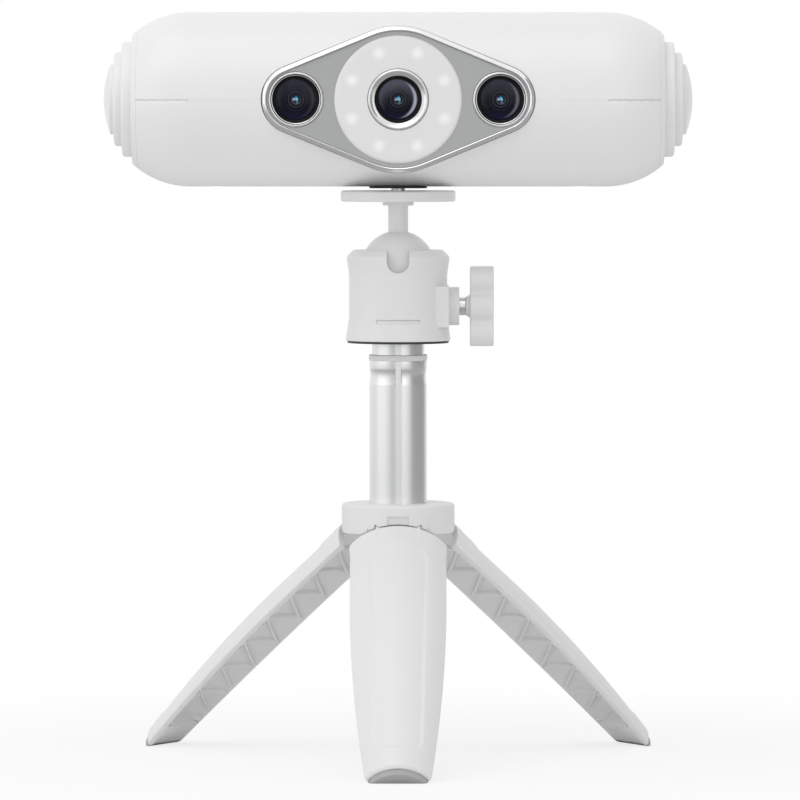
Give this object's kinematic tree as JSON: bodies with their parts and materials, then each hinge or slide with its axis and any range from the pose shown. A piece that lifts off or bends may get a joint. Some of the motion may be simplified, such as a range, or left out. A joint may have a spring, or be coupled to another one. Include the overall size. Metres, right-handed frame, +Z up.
{
  "type": "handheld scanner",
  "caption": "Handheld 3D scanner with a capsule body, stepped ends, a lit lens face and a scan button, on a folding mini tripod with a ball head and telescopic column.",
  "frame": {"origin": "on the floor under the column's axis, midway between the three open legs", "axes": "+Z up along the column, the lenses look along -Y, +X along the scanner's long axis to its right end as seen from behind"},
  "size_m": [0.1588, 0.1233, 0.2014],
  "materials": {
    "shell_white": "satin moulded, fine grain",
    "rim_metal": "polished bevel",
    "face_grey": "bead blasted, matte",
    "diffuser_white": "milky, matte",
    "circuit_board": "solder mask",
    "led": "clear phosphor dome",
    "ring_metal": "turned, bright",
    "barrel_black": "black anodised",
    "lens_glass": "coated, polished",
    "bench_metal": "milled",
    "screw_steel": "turned",
    "brass": "turned",
    "black_plastic": "moulded",
    "button_grey": "satin",
    "pad_rubber": "matte",
    "head_metal": "satin anodised",
    "head_white": "smooth satin",
    "tube_aluminium": "drawn tube, satin",
    "stand_white": "satin moulded",
    "sole_grey": "matte"
  },
  "bodies": {
    "stand": {"hub": "stand_white", "hinge_pins": "screw_steel"},
    "front_leg": {"leg_front": "stand_white", "foot_front": "sole_grey"},
    "left_leg": {"leg_left": "stand_white", "foot_left": "sole_grey"},
    "right_leg": {"leg_right": "stand_white", "foot_right": "sole_grey"},
    "outer_column": {"outer_tube": "tube_aluminium", "tube_ring": "stand_white"},
    "inner_column": {"inner_tube": "tube_aluminium", "slide_bush": "black_plastic", "head_plug": "head_metal"},
    "head": {"ball_housing": "head_white", "ball_cup": "black_plastic", "base_washer": "black_plastic"},
    "clamp": {"clamp_knob": "head_white", "clamp_screw": "screw_steel"},
    "ball_mount": {"ball": "head_metal", "ball_stem": "head_metal", "mount_plate": "head_metal", "mount_screw": "screw_steel"},
    "button": {"scan_button": "button_grey"},
    "scanner": {"upper_shell": "shell_white", "lower_shell": "shell_white", "end_cap_left": "shell_white", "end_cap_right": "shell_white", "shell_screws": "screw_steel", "trim_frame": "rim_metal", "face_plate": "face_grey", "light_diffuser": "diffuser_white", "led_board": "circuit_board", "leds": "led", "lens_ring_left": "ring_metal", "lens_ring_centre": "ring_metal", "lens_ring_right": "ring_metal", "lens_barrel_left": "barrel_black", "lens_barrel_centre": "barrel_black", "lens_barrel_right": "barrel_black", "lens_left": "lens_glass", "lens_centre": "lens_glass", "lens_right": "lens_glass", "rear_lens_left": "lens_glass", "rear_lens_centre": "lens_glass", "rear_lens_right": "lens_glass", "optical_bench": "bench_metal", "bench_screws": "screw_steel", "sensor_board_left": "circuit_board", "sensor_board_right": "circuit_board", "projector_engine": "barrel_black", "board_standoffs": "brass", "main_board": "circuit_board", "usb_socket": "screw_steel", "button_switch": "black_plastic", "tripod_nut": "brass", "base_pad": "pad_rubber"}
  },
  "joints": [
    {"name": "leg_front_fold", "type": "hinge", "parent": "stand", "child": "front_leg", "pos_m": [0, -0.0122, 0.0621], "axis": [1, 0, 0], "range_deg": [0, 50]},
    {"name": "leg_right_fold", "type": "hinge", "parent": "stand", "child": "right_leg", "pos_m": [0.01057, 0.0061, 0.0621], "axis": [-0.5, 0.866, 0], "range_deg": [0, 50]},
    {"name": "leg_left_fold", "type": "hinge", "parent": "stand", "child": "left_leg", "pos_m": [-0.01057, 0.0061, 0.0621], "axis": [-0.5, -0.866, 0], "range_deg": [0, 50]},
    {"name": "outer_tube_slide", "type": "slide", "parent": "stand", "child": "outer_column", "axis": [0, 0, 1], "range_m": [-0.038, 0]},
    {"name": "inner_tube_slide", "type": "slide", "parent": "outer_column", "child": "inner_column", "axis": [0, 0, 1], "range_m": [-0.0029, 0.033]},
    {"name": "head_turn", "type": "hinge", "parent": "inner_column", "child": "head", "pos_m": [0, 0, 0.1122], "axis": [0, 0, 1], "continuous": true},
    {"name": "knob_turn", "type": "hinge", "parent": "head", "child": "clamp", "pos_m": [0, 0, 0.1221], "axis": [1, 0, 0], "range_deg": [0, 270]},
    {"name": "ball_tilt", "type": "hinge", "parent": "head", "child": "ball_mount", "pos_m": [0, 0, 0.1325], "axis": [1, 0, 0], "range_deg": [-40, 70]},
    {"name": "scanner_turn", "type": "hinge", "parent": "ball_mount", "child": "scanner", "pos_m": [0, 0, 0.1533], "axis": [0, 0, 1], "continuous": true},
    {"name": "scan_button_press", "type": "slide", "parent": "scanner", "child": "button", "axis": [0, -1, 0], "range_m": [0, 0.0006], "stiffness_N_per_m": 2000}
  ]
}
